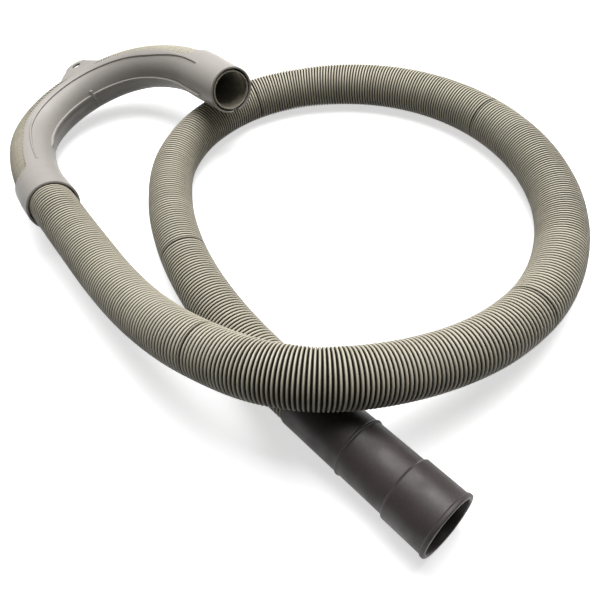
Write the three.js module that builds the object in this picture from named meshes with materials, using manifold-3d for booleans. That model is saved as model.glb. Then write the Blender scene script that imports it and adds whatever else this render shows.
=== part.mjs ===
// Washing machine drain hose: a corrugated hose lying in one open loop, with a rubber cuff on
// the end that goes onto the pump and a moulded hook on the end that hangs over the standpipe.
// Millimetres, +Z up. The floor is z = 0 and the origin is the middle of the floor below it.

import * as THREE from 'three';
import { mergeVertices } from 'three/addons/utils/BufferGeometryUtils.js';
import Module from 'manifold-3d';

// Hose, with a plain spigot inside the cuff and a plain ring at the outlet
const HOSE_DIAMETER = 32;
const HOSE_BORE = 27.2;
const SPIGOT_DIAMETER = 28.4;
const SPIGOT_BORE = 25.2;
const SPIGOT_LENGTH = 30;
const OUTLET_RING_DIAMETER = 30;
const OUTLET_RING_BORE = 27;
const OUTLET_RING_LENGTH = 10;
const OUTLET_RING_RECESS = 0.5;

// Rubber cuff, from its rolled lip back to where the hose goes in
const CUFF_LENGTH = 97.6;
const CUFF_DIAMETER = 33.4;
const CUFF_SOCKET_DIAMETER = 35.8;
const CUFF_SOCKET_LENGTH = 26.5;
const CUFF_LIP_DIAMETER = 37.1;
const CUFF_LIP_LENGTH = 2.6;
const CUFF_MOUTH_BORE = 32;
const CUFF_BORE = 30.4;
const CUFF_MOUTH_TAPER = 6;
const CUFF_EDGE = 1.2;
const CUFF_RIDGE_STATION = 56.4;
const CUFF_RIDGE_HEIGHT = 0.7;
const CUFF_RIDGE_WIDTH = 2;

// Hook: a bend that eases at both ends into a straight leg, and a channel that holds the hose
// from the inner side
const HOOK_BEND_RADIUS = 70.4;
const HOOK_BEND_SWEEP = THREE.MathUtils.degToRad(133.5);
const LOWER_EASE_RADIUS = 241.4;
const LOWER_EASE_LENGTH = 70.5;
const OUTLET_EASE_RADIUS = 122.2;
const OUTLET_EASE_LENGTH = 63.4;
const HOOK_LOWER_LEG = 27.4;
const HOOK_OUTLET_LEG = 50.7;
const HOOK_CLEARANCE = 1;
const HOOK_WALL = 1.2;
const COLLAR_CLEARANCE = 1.2;
const COLLAR_WALL = 1.8;
const LOWER_COLLAR_LENGTH = 32;
const OUTLET_COLLAR_DIAMETER = 35;
const OUTLET_COLLAR_BORE = 33.2;
const OUTLET_COLLAR_LENGTH = 22;

// Window along the outer side of the bend, where the hose shows
const WINDOW_INSET = 5;
const WINDOW_END_INSET = 0.8;
const WINDOW_LOWER_SLOPE = 5;
const WINDOW_LOWER_REACH = 61;
const WINDOW_OUTLET_REACH = 64;
const WINDOW_LOWER_CORNER = 8;
const WINDOW_OUTLET_CORNER = 13;

// Raised band along the channel's upper edge
const BAND_HEIGHT = 0.8;
const BAND_START_ANGLE = THREE.MathUtils.degToRad(57);
const BAND_END_ANGLE = THREE.MathUtils.degToRad(82);
const BAND_LOWER_REACH = 49;
const BAND_OUTLET_REACH = 81;

// Stiffening fin along the inner side of the bend, with one short cross rib
const FIN_THICKNESS = 1.2;
const FIN_HEIGHT = 1.8;
const FIN_LOWER_REACH = 7;
const FIN_OUTLET_REACH = 91;
const CROSS_RIB_SHARE = 0.585;
const CROSS_RIB_WIDTH = 3;
const CROSS_RIB_ANGLE = THREE.MathUtils.degToRad(22);

// Tab with its eye, by which the hook is tied or screwed to a wall
const TAB_THICKNESS = 2;
const TAB_ANGLE = THREE.MathUtils.degToRad(13);
const TAB_REACH = 14.6;
const TAB_TIP_WIDTH = 13;
const TAB_ROOT_NEAR = 20;
const TAB_ROOT_FAR = 20;
const TAB_CORNER = 7;
const TAB_EYE_SETBACK = 7.3;
const TAB_EYE_LENGTH = 8;
const TAB_EYE_WIDTH = 6.4;

// Where things lie. A gap keeps neighbours apart, and an overlap joins pieces of one moulding
const GAP = 0.3;
const JOIN = 1;
const CUFF_LIP_PLACE = new THREE.Vector2(-114.7, -239.3);
const HOOK_PLACE = new THREE.Vector3(-49.3, 152.7, 36.2);
const HOOK_LEAN = THREE.MathUtils.degToRad(10.1);
const HOOK_LEAN_TOWARDS = THREE.MathUtils.degToRad(123.3);
const HOOK_TURN = THREE.MathUtils.degToRad(-0.3);

// Free stretch of the hose from the cuff to the hook: across, along, and lift off the floor
const FREE_ROUTE = [
  [-114, -118.5, 0.9],
  [-110.5, -74, 0.3],
  [-102.5, -30.5, 0.1],
  [-89, 11, 0.1],
  [-68.5, 50, 0.1],
  [-39.5, 83, 0.1],
  [0.5, 101, 0.1],
  [44.5, 99.5, 0.1],
  [83.5, 80.5, 0.1],
  [114.5, 49, 0.1],
  [135.5, 10.5, 0.1],
  [145, -32, 0.1],
  [142.5, -76, 0.1],
  [128, -118.5, 0.1],
  [102, -155.5, 0.2],
  [68, -181.5, 1.4],
  [26, -196.5, 5],
  [-16.5, -197, 11],
  [-60, -185.5, 20.5],
  [-105.5, -162, 35.5],
  [-128, -134, 38],
  [-141, -91, 31.5],
  [-145.5, -44.5, 22],
  [-144.5, -2.5, 17.5],
  [-140, 45.5, 18.5],
];

// How finely round things are cut into flats
const HOSE_SIDES = 12;
const MOULDED_SIDES = 32;
const HOSE_STEPS = 80;
const ARC_FLATS = 4;
const TAB_FLATS = 8;
const BEND_STEPS = 24;
const HOOK_ROUTE_POINTS = 22;

const hoseRadius = HOSE_DIAMETER / 2;
const channelBoreRadius = hoseRadius + HOOK_CLEARANCE;
const channelRadius = channelBoreRadius + HOOK_WALL;
const collarBoreRadius = hoseRadius + COLLAR_CLEARANCE;
const collarRadius = collarBoreRadius + COLLAR_WALL;
const bendLength = HOOK_BEND_RADIUS * HOOK_BEND_SWEEP;
const hookStart = -LOWER_EASE_LENGTH - HOOK_LOWER_LEG;
const hookEnd = bendLength + OUTLET_EASE_LENGTH + HOOK_OUTLET_LEG;
const hoseEndStation = hookEnd - OUTLET_RING_RECESS;
const cuffAxisHeight = CUFF_LIP_DIAMETER / 2;

const hookPose = new THREE.Matrix4()
  .makeTranslation(HOOK_PLACE)
  .multiply(new THREE.Matrix4().makeRotationZ(HOOK_LEAN_TOWARDS))
  .multiply(new THREE.Matrix4().makeRotationY(HOOK_LEAN))
  .multiply(new THREE.Matrix4().makeRotationZ(HOOK_TURN - HOOK_LEAN_TOWARDS));

const wasm = await Module();
wasm.setup();

// A closed geometry as a solid that can be joined and cut
function toSolid(geometry) {
  const bare = geometry.clone();
  bare.deleteAttribute('normal');
  bare.deleteAttribute('uv');
  const merged = mergeVertices(bare);
  return new wasm.Manifold(new wasm.Mesh({
    numProp: 3,
    vertProperties: merged.attributes.position.array,
    triVerts: Uint32Array.from(merged.index.array),
  }));
}

// A solid as a geometry that a mesh can show
function toGeometry(solid) {
  const mesh = solid.getMesh();
  const geometry = new THREE.BufferGeometry();
  geometry.setAttribute('position', new THREE.BufferAttribute(mesh.vertProperties, mesh.numProp));
  geometry.setIndex(new THREE.BufferAttribute(mesh.triVerts, 1));
  geometry.computeVertexNormals();
  return geometry;
}

function namedMesh(name, geometry, color, roughness) {
  const material = new THREE.MeshStandardMaterial({ color, roughness, metalness: 0 });
  const mesh = new THREE.Mesh(geometry, material);
  mesh.name = name;
  return mesh;
}

// A point beside the hook's centreline, in the hook's own frame. The station is the distance
// along the line from the start of the bend: below 0 on the lower side, past the bend on the other
function hookPoint(station, outward = 0) {
  const alongBend = THREE.MathUtils.clamp(station, 0, bendLength);
  const bendAngle = (Math.PI + HOOK_BEND_SWEEP) / 2 - alongBend / HOOK_BEND_RADIUS;
  const pastBend = station - alongBend;
  const easeRadius = pastBend < 0 ? LOWER_EASE_RADIUS : OUTLET_EASE_RADIUS;
  const alongEase = THREE.MathUtils.clamp(pastBend, -LOWER_EASE_LENGTH, OUTLET_EASE_LENGTH);
  const angle = bendAngle - alongEase / easeRadius;
  const alongLeg = pastBend - alongEase;
  const centre = HOOK_BEND_RADIUS - easeRadius;
  const reach = easeRadius + outward;
  return new THREE.Vector3(
    Math.cos(bendAngle) * centre + Math.cos(angle) * reach + Math.sin(angle) * alongLeg,
    Math.sin(bendAngle) * centre + Math.sin(angle) * reach - Math.cos(angle) * alongLeg,
    0,
  );
}

class HookLine extends THREE.Curve {
  constructor(from, to) {
    super();
    this.from = from;
    this.to = to;
  }

  getPoint(share) {
    return hookPoint(THREE.MathUtils.lerp(this.from, this.to, share));
  }
}

// How many steps a sweep between two stations is cut into
function sweepSteps(from, to) {
  return Math.ceil((BEND_STEPS * (to - from)) / bendLength);
}

// A section drawn across the hook's line: x runs down and y runs outward from the bend
function sweepAlongHook(section, from, to, flats = MOULDED_SIDES) {
  return new THREE.ExtrudeGeometry(section, {
    steps: sweepSteps(from, to),
    extrudePath: new HookLine(from, to),
    curveSegments: flats / 2,
  });
}

function disc(radius) {
  const section = new THREE.Shape();
  section.absarc(0, 0, radius, 0, 2 * Math.PI);
  return section;
}

function ring(radius, boreRadius) {
  const section = disc(radius);
  const bore = new THREE.Path();
  bore.absarc(0, 0, boreRadius, 0, 2 * Math.PI, true);
  section.holes.push(bore);
  return section;
}

// A piece of a ring between two angles, measured from the inner side of the bend upwards
function ringSector(innerRadius, outerRadius, fromAngle, toAngle) {
  const innerSide = -Math.PI / 2;
  const section = new THREE.Shape();
  section.absarc(0, 0, outerRadius, innerSide - fromAngle, innerSide - toAngle, true);
  section.absarc(0, 0, innerRadius, innerSide - toAngle, innerSide - fromAngle, false);
  section.closePath();
  return section;
}

// The opening that is cut out of the channel, as an outline that stands across the hook
function windowOutline() {
  const clear = collarRadius + JOIN;
  const lowerEnd = -WINDOW_LOWER_REACH;
  const lowerStraight = lowerEnd + WINDOW_LOWER_CORNER;
  const outletEnd = bendLength + WINDOW_OUTLET_REACH;
  const outletStraight = outletEnd - WINDOW_OUTLET_CORNER;
  const steps = sweepSteps(lowerEnd, outletEnd);
  const plan = (station, outward) => {
    const point = hookPoint(station, outward);
    return [point.x, point.y];
  };
  const outline = new THREE.Shape();
  outline.moveTo(...plan(lowerEnd, clear));
  outline.lineTo(...plan(lowerEnd, WINDOW_LOWER_CORNER - WINDOW_END_INSET));
  outline.quadraticCurveTo(
    ...plan(lowerEnd, -WINDOW_END_INSET),
    ...plan(lowerStraight, -WINDOW_END_INSET),
  );
  for (let step = 1; step <= steps; step += 1) {
    const station = THREE.MathUtils.lerp(lowerStraight, outletStraight, step / steps);
    const depth = Math.min((step / steps) * WINDOW_INSET * WINDOW_LOWER_SLOPE, WINDOW_INSET);
    outline.lineTo(...plan(station, -Math.max(depth, WINDOW_END_INSET)));
  }
  outline.quadraticCurveTo(
    ...plan(outletEnd, -WINDOW_INSET),
    ...plan(outletEnd, WINDOW_OUTLET_CORNER - WINDOW_INSET),
  );
  outline.lineTo(...plan(outletEnd, clear));
  for (let step = steps; step >= 0; step -= 1) {
    outline.lineTo(...plan(THREE.MathUtils.lerp(lowerEnd, outletEnd, step / steps), clear * 2));
  }
  return outline;
}

function windowSolid() {
  const depth = 2 * (collarRadius + JOIN);
  const geometry = new THREE.ExtrudeGeometry(windowOutline(), { depth, bevelEnabled: false });
  geometry.translate(0, 0, -depth / 2);
  return toSolid(geometry);
}

// The tab's outline in its own frame: x along the bend and y outward from the hose's centreline
function tabOutline() {
  const root = -WINDOW_INSET - BAND_HEIGHT;
  const tip = TAB_REACH;
  const halfTip = TAB_TIP_WIDTH / 2;
  const outline = new THREE.Shape();
  outline.moveTo(-TAB_ROOT_NEAR, root);
  outline.quadraticCurveTo(
    -TAB_ROOT_NEAR + TAB_CORNER,
    root + TAB_CORNER,
    -halfTip - TAB_CORNER / 2,
    tip / 2,
  );
  outline.quadraticCurveTo(-halfTip - TAB_CORNER / 4, tip - JOIN, 0, tip);
  outline.quadraticCurveTo(halfTip + TAB_CORNER / 4, tip, halfTip + TAB_CORNER / 2, tip - TAB_CORNER);
  outline.lineTo(TAB_ROOT_FAR, root);
  outline.closePath();
  const eye = new THREE.Path();
  const eyePlace = tip - TAB_EYE_SETBACK;
  eye.absellipse(0, eyePlace, TAB_EYE_LENGTH / 2, TAB_EYE_WIDTH / 2, 0, 2 * Math.PI);
  outline.holes.push(eye);
  return outline;
}

function tabSolid() {
  const geometry = new THREE.ExtrudeGeometry(tabOutline(), {
    depth: TAB_THICKNESS,
    bevelEnabled: false,
    curveSegments: TAB_FLATS,
  });
  geometry.translate(0, HOOK_BEND_RADIUS, hoseRadius + HOOK_CLEARANCE / 2);
  geometry.rotateZ(-TAB_ANGLE);
  return toSolid(geometry);
}

function hookShell() {
  const collarStart = hookEnd - OUTLET_COLLAR_LENGTH;
  const shell = toSolid(sweepAlongHook(disc(channelRadius), hookStart, collarStart));
  const lowerCollar = toSolid(sweepAlongHook(
    disc(collarRadius),
    hookStart,
    hookStart + LOWER_COLLAR_LENGTH,
  ));
  const outletCollar = toSolid(sweepAlongHook(
    disc(OUTLET_COLLAR_DIAMETER / 2),
    collarStart - JOIN,
    hookEnd,
  ));
  const bandRoot = channelRadius - HOOK_WALL / 2;
  const band = toSolid(sweepAlongHook(
    ringSector(bandRoot, channelRadius + BAND_HEIGHT, BAND_START_ANGLE, BAND_END_ANGLE),
    -BAND_LOWER_REACH,
    bendLength + BAND_OUTLET_REACH,
    ARC_FLATS,
  ));
  return shell.add(lowerCollar).add(outletCollar).add(band);
}

// The fin and its cross rib stand on the channel's inner side
function hookRibs() {
  const root = channelRadius - HOOK_WALL / 2;
  const tip = channelRadius + FIN_HEIGHT;
  const finSection = new THREE.Shape();
  finSection.moveTo(-FIN_THICKNESS / 2, -tip);
  finSection.lineTo(FIN_THICKNESS / 2, -tip);
  finSection.lineTo(FIN_THICKNESS / 2, -root);
  finSection.lineTo(-FIN_THICKNESS / 2, -root);
  finSection.closePath();
  const fin = toSolid(sweepAlongHook(finSection, -FIN_LOWER_REACH, bendLength + FIN_OUTLET_REACH));
  const crossStation = bendLength * CROSS_RIB_SHARE;
  const crossRib = toSolid(sweepAlongHook(
    ringSector(root, tip, -CROSS_RIB_ANGLE, CROSS_RIB_ANGLE),
    crossStation - CROSS_RIB_WIDTH / 2,
    crossStation + CROSS_RIB_WIDTH / 2,
    ARC_FLATS,
  ));
  return fin.add(crossRib);
}

function hookBore() {
  const collarStart = hookEnd - OUTLET_COLLAR_LENGTH;
  const channel = toSolid(sweepAlongHook(disc(channelBoreRadius), hookStart - JOIN, collarStart - JOIN));
  const lowerCollar = toSolid(sweepAlongHook(
    disc(collarBoreRadius),
    hookStart - JOIN,
    hookStart + LOWER_COLLAR_LENGTH - COLLAR_WALL,
  ));
  const outletCollar = toSolid(sweepAlongHook(
    disc(OUTLET_COLLAR_BORE / 2),
    collarStart - 2 * JOIN,
    hookEnd + JOIN,
  ));
  return channel.add(lowerCollar).add(outletCollar);
}

function makeHook() {
  const body = hookShell()
    .subtract(windowSolid())
    .add(tabSolid())
    .subtract(hookBore())
    .add(hookRibs());
  const hook = namedMesh('hose_hook', toGeometry(body), 0xb4afa7, 0.5);
  const place = new THREE.Group();
  place.applyMatrix4(hookPose);
  place.add(hook);
  return place;
}

// The cuff's wall as one closed profile: distance from the axis, distance from the lip
function cuffProfile() {
  const boreAroundSpigot = SPIGOT_DIAMETER / 2 + GAP;
  const spigotDepth = CUFF_LENGTH - SPIGOT_LENGTH - GAP;
  const body = CUFF_DIAMETER / 2;
  const socket = CUFF_SOCKET_DIAMETER / 2;
  const lip = CUFF_LIP_DIAMETER / 2;
  const ridge = body + CUFF_RIDGE_HEIGHT;
  const outline = [
    [CUFF_MOUTH_BORE / 2, 0],
    [lip - CUFF_EDGE / 2, 0],
    [lip, CUFF_EDGE / 2],
    [lip, CUFF_LIP_LENGTH - CUFF_EDGE / 2],
    [socket, CUFF_LIP_LENGTH],
    [socket, CUFF_SOCKET_LENGTH - CUFF_EDGE / 2],
    [body, CUFF_SOCKET_LENGTH + CUFF_EDGE / 2],
    [body, CUFF_RIDGE_STATION - CUFF_RIDGE_WIDTH / 2],
    [ridge, CUFF_RIDGE_STATION - CUFF_RIDGE_WIDTH / 4],
    [ridge, CUFF_RIDGE_STATION + CUFF_RIDGE_WIDTH / 4],
    [body, CUFF_RIDGE_STATION + CUFF_RIDGE_WIDTH / 2],
    [body, CUFF_LENGTH - CUFF_EDGE],
    [body - CUFF_EDGE, CUFF_LENGTH],
    [boreAroundSpigot, CUFF_LENGTH],
    [boreAroundSpigot, spigotDepth],
    [CUFF_BORE / 2, spigotDepth - GAP],
    [CUFF_BORE / 2, CUFF_MOUTH_TAPER],
    [CUFF_MOUTH_BORE / 2, 0],
  ];
  return outline.map(([radius, station]) => new THREE.Vector2(radius, station));
}

function makeCuff() {
  const geometry = new THREE.LatheGeometry(cuffProfile(), MOULDED_SIDES);
  const cuff = namedMesh('pump_cuff', toGeometry(toSolid(geometry)), 0x423c39, 0.55);
  cuff.position.set(CUFF_LIP_PLACE.x, CUFF_LIP_PLACE.y, cuffAxisHeight);
  return cuff;
}

// The line that the corrugated stretch follows, from the cuff to the ring at the outlet
function hoseLine() {
  const start = CUFF_LIP_PLACE.y + CUFF_LENGTH + GAP;
  const points = [
    new THREE.Vector3(CUFF_LIP_PLACE.x, start, cuffAxisHeight),
    new THREE.Vector3(CUFF_LIP_PLACE.x, start + hoseRadius / 2, cuffAxisHeight),
  ];
  for (const [across, along, lift] of FREE_ROUTE) {
    points.push(new THREE.Vector3(across, along, hoseRadius + lift));
  }
  const ringStart = hoseEndStation - OUTLET_RING_LENGTH + JOIN;
  for (let step = 0; step <= HOOK_ROUTE_POINTS; step += 1) {
    const station = THREE.MathUtils.lerp(hookStart, ringStart, step / HOOK_ROUTE_POINTS);
    points.push(hookPoint(station).applyMatrix4(hookPose));
  }
  return new THREE.CatmullRomCurve3(points);
}

function makeSpigot() {
  const inside = SPIGOT_BORE / 2;
  const outside = SPIGOT_DIAMETER / 2;
  const end = SPIGOT_LENGTH + GAP + JOIN;
  const profile = [[inside, 0], [outside, 0], [outside, end], [inside, end], [inside, 0]];
  const points = profile.map(([radius, station]) => new THREE.Vector2(radius, station));
  const geometry = new THREE.LatheGeometry(points, MOULDED_SIDES);
  geometry.translate(CUFF_LIP_PLACE.x, CUFF_LIP_PLACE.y + CUFF_LENGTH - SPIGOT_LENGTH, cuffAxisHeight);
  return toSolid(geometry);
}

function makeOutletRing() {
  const section = ring(OUTLET_RING_DIAMETER / 2, OUTLET_RING_BORE / 2);
  const geometry = sweepAlongHook(section, hoseEndStation - OUTLET_RING_LENGTH, hoseEndStation);
  geometry.applyMatrix4(hookPose);
  return toSolid(geometry);
}

function makeHose() {
  const corrugated = toSolid(new THREE.ExtrudeGeometry(ring(hoseRadius, HOSE_BORE / 2), {
    steps: HOSE_STEPS,
    extrudePath: hoseLine(),
    curveSegments: HOSE_SIDES / 2,
  }));
  const body = corrugated.add(makeSpigot()).add(makeOutletRing());
  return namedMesh('drain_hose', toGeometry(body), 0xa8a494, 0.6);
}

const drainHose = new THREE.Group();
drainHose.add(makeHose(), makeHook(), makeCuff());

export default drainHose;
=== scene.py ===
import math

import bmesh
import bpy
import numpy as np
from mathutils import Matrix, Vector


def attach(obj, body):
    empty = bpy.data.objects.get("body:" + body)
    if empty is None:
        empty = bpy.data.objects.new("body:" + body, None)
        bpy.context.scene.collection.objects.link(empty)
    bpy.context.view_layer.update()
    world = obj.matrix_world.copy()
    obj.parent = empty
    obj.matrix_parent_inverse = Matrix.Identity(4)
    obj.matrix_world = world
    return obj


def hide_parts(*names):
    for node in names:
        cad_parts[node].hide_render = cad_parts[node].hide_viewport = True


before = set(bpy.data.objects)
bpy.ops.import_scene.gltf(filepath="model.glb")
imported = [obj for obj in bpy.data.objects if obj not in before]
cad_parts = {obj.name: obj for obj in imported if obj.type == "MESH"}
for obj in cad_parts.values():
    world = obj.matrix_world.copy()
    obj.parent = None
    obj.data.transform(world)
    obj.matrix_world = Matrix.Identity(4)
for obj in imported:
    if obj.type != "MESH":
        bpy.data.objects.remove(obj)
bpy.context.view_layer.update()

# Lengths are in metres. A station is a distance along a centreline: on the hose it is 0 at the
# spigot's end, and on the hook it is 0 where the bend starts and grows towards the outlet.

# Hose
HOSE_RADIUS = 0.016
RIB_DEPTH = 0.0018
HOSE_WALL = 0.0006
SPIGOT_RADIUS = 0.0142
SPIGOT_BORE = 0.0126
SPIGOT_LENGTH = 0.030
SPIGOT_CHAMFER = 0.0005
SPIGOT_SHOULDER = 0.0004
OUTLET_RING_RADIUS = 0.0145
OUTLET_RING_BORE = 0.0135
OUTLET_RING_LENGTH = 0.010
OUTLET_RING_RECESS = 0.0005
OUTLET_RING_SHOULDER = 0.0006
OUTLET_RING_ROUNDING = 0.0004
OUTLET_RING_CHAMFER = 0.0003
INNER_RIBS_SEEN = 26
INNER_RIB_PITCH = 0.0023
INNER_RIB_DEPTH = 0.0013
SMOOTH_MOUTH_LENGTH = 0.0035
PLAIN_BORE_MARGIN = 0.004
PLAIN_BORE_RINGS = 60
HOSE_SIDES = 28
SPIGOT_STEPS = 10
FREE_ROUTE_STEPS = 24
HOOK_LINE_POINTS = 300
DECLARED_PATH_POINTS = 400
BEND_SMOOTHING = 15

# The ribs' spacing along the hose, as (station, spacing)
RIB_SPACING = [
    (0.030, 0.00245),
    (0.260, 0.00240),
    (0.560, 0.00233),
    (0.620, 0.00215),
    (0.700, 0.00208),
    (0.760, 0.00236),
    (0.820, 0.00256),
    (0.860, 0.00256),
    (0.900, 0.00212),
    (0.940, 0.00208),
    (0.980, 0.00235),
    (1.020, 0.00256),
    (1.060, 0.00250),
    (1.100, 0.00228),
    (1.600, 0.00224),
]
RIB_SPACING_SAMPLES = 4000
MOULD_LINE_FIRST = 0.1705
MOULD_LINE_STEP = 0.202

# One rib's rings: where each lies in the rib, and how far it rises from groove to crest
RIB_SHARES = (0.0, 0.15, 0.34, 0.67, 0.86)
MOULD_LINE_SHARES = (0.14, 0.38, 0.53, 0.70, 0.86)
RIB_RISES = (0.0, 0.6, 1.0, 1.0, 0.6)

# Cuff. Its lip's place is across and along, and its own stations start there.
CUFF_LIP_PLACE = (-0.1147, -0.2393)
CUFF_LENGTH = 0.0976
CUFF_RADIUS = 0.0167
CUFF_SOCKET_RADIUS = 0.0179
CUFF_SOCKET_LENGTH = 0.0265
CUFF_STEP_SLOPE = 0.0006
CUFF_LIP_RADIUS = 0.01855
CUFF_LIP_LENGTH = 0.0022
CUFF_LIP_SLOPE = 0.0004
CUFF_MOUTH_RADIUS = 0.016
CUFF_MOUTH_FLARE = 0.006
CUFF_BORE_RADIUS = 0.0152
CUFF_BORE_SLOPE = 0.0006
CUFF_RIDGE_STATION = 0.0564
CUFF_RIDGE_HEIGHT = 0.0007
CUFF_RIDGE_TOP_WIDTH = 0.001
CUFF_RIDGE_FOOT_WIDTH = 0.002
CUFF_FINE_ROUNDING = 0.0004
CUFF_STEP_ROUNDING = 0.0005
CUFF_MOUTH_ROUNDING = 0.0008
CUFF_LIP_ROUNDING = 0.0009
CUFF_BACK_ROUNDING = 0.0014
CUFF_FLARE_ROUNDING = 0.002
CUFF_SIDES = 128
CUFF_AXIS_STEPS = 20
ROUNDING_STEPS = 5
ROUNDING_LONGEST_SHARE = 0.49
GAP = 0.0003

# Hook: its line, and where it lies
BEND_RADIUS = 0.0704
BEND_SWEEP = math.radians(133.5)
LOWER_EASE_RADIUS = 0.2414
LOWER_EASE_LENGTH = 0.0705
OUTLET_EASE_RADIUS = 0.1222
OUTLET_EASE_LENGTH = 0.0634
LOWER_LEG = 0.0274
OUTLET_LEG = 0.0507
HOOK_PLACE = Vector((-0.0493, 0.1527, 0.0362))
HOOK_LEAN = math.radians(10.1)
HOOK_LEAN_TOWARDS = math.radians(123.3)
HOOK_TURN = math.radians(-0.3)

# Hook: channel and collars. The notch's sides are counted in columns before the first fixed mark.
CHANNEL_RADIUS = 0.0182
CHANNEL_BORE = 0.017
COLLAR_RADIUS = 0.0186
COLLAR_TRIM = 0.005
COLLAR_ROUNDING = 0.0006
LOWER_COLLAR = 0.032
LOWER_COLLAR_FLOW = 0.008
OUTLET_COLLAR_RADIUS = 0.0173
OUTLET_COLLAR_BORE = 0.0166
OUTLET_COLLAR_FLOW = 0.045
OUTLET_MOUTH_BORE = 0.0159
OUTLET_MOUTH_LENGTH = 0.008
OUTLET_MOUTH_SLOPE = 0.001
NOTCH_DEPTH = 0.004
NOTCH_COLUMNS = (1, 3)

# Hook: the window on its outer side
WINDOW_INSET = 0.005
WINDOW_END_INSET = 0.0008
WINDOW_LOWER_REACH = 0.061
WINDOW_OUTLET_REACH = 0.064
WINDOW_LOWER_CORNER = 0.008
WINDOW_OUTLET_CORNER = 0.013
WINDOW_CORNER_STEPS = 12
EDGE_ROUNDING_ANGLE = 1.6
EDGE_ROUNDING_DEPTH = 0.0003
INNER_RIM_SHARE = 0.3

# Hook: bead, fin and cross rib. A mark is an angle round the channel in degrees, from the bend's
# inner side, and a slope is the stretch over which a raised form rises to its height.
BEAD_HEIGHT = 0.0010
BEAD_MARKS = (55.2, 61.4)
BEAD_FOOT = 0.5
BEAD_SLOPE = 1.3
BEAD_LOWER_REACH = 0.049
BEAD_LOWER_SLOPE = 0.001
BEAD_LOWER_DRIFT = -2
BEAD_OUTLET_REACH = 0.081
BEAD_OUTLET_SLOPE = 0.0012
BEAD_OUTLET_DRIFT = 15
DRIFT_MARKS = (30, 52)
FIN_HEIGHT = 0.0018
FIN_THICKNESS = 0.0012
FIN_SLOPE = 0.7
FIN_LOWER_REACH = 0.007
FIN_LOWER_SLOPE = 0.005
FIN_OUTLET_REACH = 0.095
FIN_OUTLET_SLOPE = 0.003
CROSS_RIB_SHARE = 0.585
CROSS_RIB_WIDTH = 0.003
CROSS_RIB_HEIGHT = 0.0021
CROSS_RIB_MARKS = (-29, 12)
CROSS_RIB_END_SLOPE = 0.5
CROSS_RIB_SIDE_SLOPE = (-0.0001, 0.0002)

# Hook: how fine its mesh is. The columns at fixed marks come first, then those that share out the rest
# of the way to the window's edge, and then the closing ones from that edge to the hook's outer side.
HOOK_STEP = 0.0025
HOOK_FINE_STEP = 0.0003
HOOK_LEAST_STEP = 0.00001
MERGE_DISTANCE = 0.000001
FINE_RIM = 0.0015
FINE_FIN_START = 0.001
FINE_CROSS_RIB = 0.002
FIXED_MARKS_REACH = 63.8
FIXED_MARKS_COUNT = 45
FIN_MARKS = (0, 1.0, 1.9, 2.6, 3.2)
EDGE_SHARES = (0.15, 0.3, 0.45, 0.6, 0.75, 0.86, 0.94, 1.0)
CLOSING_COLUMNS = 12

# Tab
TAB_THICKNESS = 0.002
TAB_UNDERSIDE = 0.0165
TAB_ANGLE = math.radians(13)
TAB_REACH = 0.0146
TAB_TIP_WIDTH = 0.013
TAB_TIP_PULL = 0.001
TAB_ROOT_HALF = 0.020
TAB_ROOT_INSET = 0.0058
TAB_ROOT_DROP = 0.0012
TAB_CORNER = 0.007
TAB_EYE_SETBACK = 0.0073
TAB_EYE_LENGTH = 0.008
TAB_EYE_WIDTH = 0.0064
TAB_CURVE_STEPS = 12
TAB_EYE_STEPS = 40
TAB_BEVEL = 0.0003
TAB_BEVEL_PROFILE = 0.6
TAB_BEVEL_STEPS = 2
TAB_RIM_LEAST_ANGLE = 1.2

# Angles in degrees past which an edge between two faces is shaded sharp
HOSE_SHARP_ANGLE = 60
CUFF_SHARP_ANGLE = 40
HOOK_SHARP_ANGLE = 35

# The hose's free stretch from the cuff to the hook: across, along, and lift off the floor
FREE_ROUTE = [
    (-0.114, -0.1185, 0.0009),
    (-0.1105, -0.074, 0.0003),
    (-0.1025, -0.0305, 0.0001),
    (-0.089, 0.011, 0.0001),
    (-0.0685, 0.05, 0.0001),
    (-0.0395, 0.083, 0.0001),
    (0.0005, 0.101, 0.0001),
    (0.0445, 0.0995, 0.0001),
    (0.0835, 0.0805, 0.0001),
    (0.1145, 0.049, 0.0001),
    (0.1355, 0.0105, 0.0001),
    (0.145, -0.032, 0.0001),
    (0.1425, -0.076, 0.0001),
    (0.128, -0.1185, 0.0001),
    (0.102, -0.1555, 0.0002),
    (0.068, -0.1815, 0.0014),
    (0.026, -0.1965, 0.005),
    (-0.0165, -0.197, 0.011),
    (-0.06, -0.1855, 0.0205),
    (-0.1055, -0.162, 0.0355),
    (-0.128, -0.134, 0.038),
    (-0.141, -0.091, 0.0315),
    (-0.1455, -0.0445, 0.022),
    (-0.1445, -0.0025, 0.0175),
    (-0.14, 0.0455, 0.0185),
]

# Camera, as solved from the outlines in the photo. Lens and sensor are in millimetres.
CAMERA_PLACE = Vector((-0.1967, -0.2807, 0.3056))
CAMERA_HEADING = math.radians(33.913)
CAMERA_TILT = math.radians(51.5)
CAMERA_ROLL = math.radians(-12)
CAMERA_SENSOR = 36
CAMERA_LENS = 36

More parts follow.
